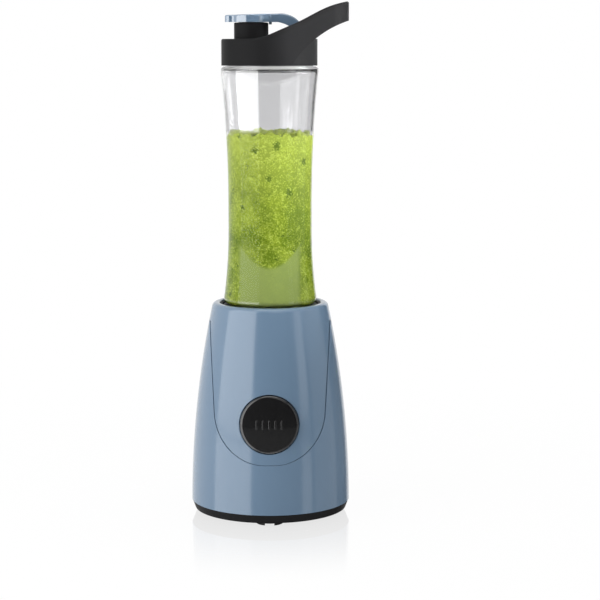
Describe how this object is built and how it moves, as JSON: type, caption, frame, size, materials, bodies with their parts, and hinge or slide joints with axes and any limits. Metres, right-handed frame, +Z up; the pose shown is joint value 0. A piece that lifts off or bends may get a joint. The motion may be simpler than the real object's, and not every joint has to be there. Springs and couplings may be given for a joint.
{
  "type": "personal blender",
  "caption": "Compact blender: tapered motor base with a round push button, a waisted clear drinking bottle over a hidden blade unit, and a lid with flip spout and carry loop.",
  "frame": {"origin": "on the table, on the axis of base and bottle", "axes": "+Z up along the axis; the push button faces -Y; the lid's carry loop points to +X"},
  "size_m": [0.12, 0.12, 0.3846],
  "materials": {
    "blue_plastic": "gloss",
    "black_plastic": "satin",
    "clear_plastic": "gloss",
    "rubber": "matte",
    "silicone": "satin",
    "stainless_steel": "brushed",
    "plated_steel": "satin",
    "iron_stack": "satin",
    "copper": "satin",
    "bronze": "satin",
    "bracket_alloy": "satin",
    "grey_plastic": "satin",
    "white_plastic": "satin",
    "carbon": "matte"
  },
  "bodies": {
    "base": {"bottom_cover": "black_plastic", "rubber_feet": "rubber", "cover_screws": "plated_steel", "inner_shell": "blue_plastic", "front_shield": "blue_plastic", "outer_jacket": "blue_plastic", "cord_gland": "rubber", "jar_socket": "black_plastic", "button_spring": "plated_steel", "switch_plate": "grey_plastic", "switch_body": "grey_plastic", "stator_core": "iron_stack", "field_coils": "copper", "upper_bracket": "bracket_alloy", "lower_bracket": "bracket_alloy", "upper_bearing": "bronze", "lower_bearing": "bronze", "stator_bolts": "plated_steel", "motor_dampers": "rubber", "motor_screws": "plated_steel", "carbon_brushes": "carbon", "brush_holders": "grey_plastic"},
    "button": {"push_button": "black_plastic"},
    "plunger": {"switch_plunger": "white_plastic"},
    "rotor": {"motor_shaft": "stainless_steel", "armature_core": "iron_stack", "armature_windings": "copper", "commutator": "copper", "cooling_fan": "grey_plastic", "drive_coupling": "white_plastic"},
    "jar_base": {"blade_carrier": "black_plastic", "blade_bush": "bronze", "shaft_seal": "silicone"},
    "blade": {"blade_shaft": "stainless_steel", "lower_blade": "stainless_steel", "upper_blade": "stainless_steel", "blade_nut": "stainless_steel", "driven_coupling": "white_plastic"},
    "neck_ring": {"neck_seal": "silicone"},
    "jar": {"bottle": "clear_plastic"},
    "lid_ring": {"lid_seal": "silicone"},
    "lid": {"lid_body": "black_plastic", "hinge_pin": "stainless_steel"},
    "cap": {"spout_cap": "blue_plastic", "spout_plug": "silicone"}
  },
  "joints": [
    {"name": "button_press", "type": "slide", "parent": "base", "child": "button", "axis": [0, 0.9952, -0.0982], "range_m": [0, 0.003], "stiffness_N_per_m": 800, "springref_m": -0.003, "deforming": ["button_spring"]},
    {"name": "plunger_press", "type": "slide", "parent": "base", "child": "plunger", "axis": [0, 0.9952, -0.0982], "range_m": [0, 0.003]},
    {"name": "motor_spin", "type": "hinge", "parent": "base", "child": "rotor", "pos_m": [0, 0, 0.075], "axis": [0, 0, 1], "continuous": true},
    {"name": "jar_lift", "type": "slide", "parent": "base", "child": "jar_base", "axis": [0, 0, 1], "range_m": [0, 0.06]},
    {"name": "blade_spin", "type": "hinge", "parent": "jar_base", "child": "blade", "pos_m": [0, 0, 0.15], "axis": [0, 0, 1], "continuous": true},
    {"name": "bottle_rise", "type": "slide", "parent": "jar_base", "child": "neck_ring", "axis": [0, 0, 1], "range_m": [0, 0.005]},
    {"name": "bottle_turn", "type": "hinge", "parent": "neck_ring", "child": "jar", "pos_m": [0, 0, 0.15], "axis": [0, 0, 1], "range_deg": [0, 360]},
    {"name": "lid_rise", "type": "slide", "parent": "jar", "child": "lid_ring", "axis": [0, 0, 1], "range_m": [0, 0.005]},
    {"name": "lid_turn", "type": "hinge", "parent": "lid_ring", "child": "lid", "pos_m": [0, 0, 0.345], "axis": [0, 0, 1], "range_deg": [0, 360]},
    {"name": "cap_flip", "type": "hinge", "parent": "lid", "child": "cap", "pos_m": [0.0215, 0, 0.3653], "axis": [0, 1, 0], "range_deg": [0, 120]}
  ],
  "couplings": [
    {"joint": "plunger_press", "follows": "button_press", "ratio": 1},
    {"joint": "blade_spin", "follows": "motor_spin", "ratio": 1},
    {"joint": "bottle_rise", "follows": "bottle_turn", "m_per_rad": 0.00079577},
    {"joint": "lid_rise", "follows": "lid_turn", "m_per_rad": 0.00079577}
  ]
}
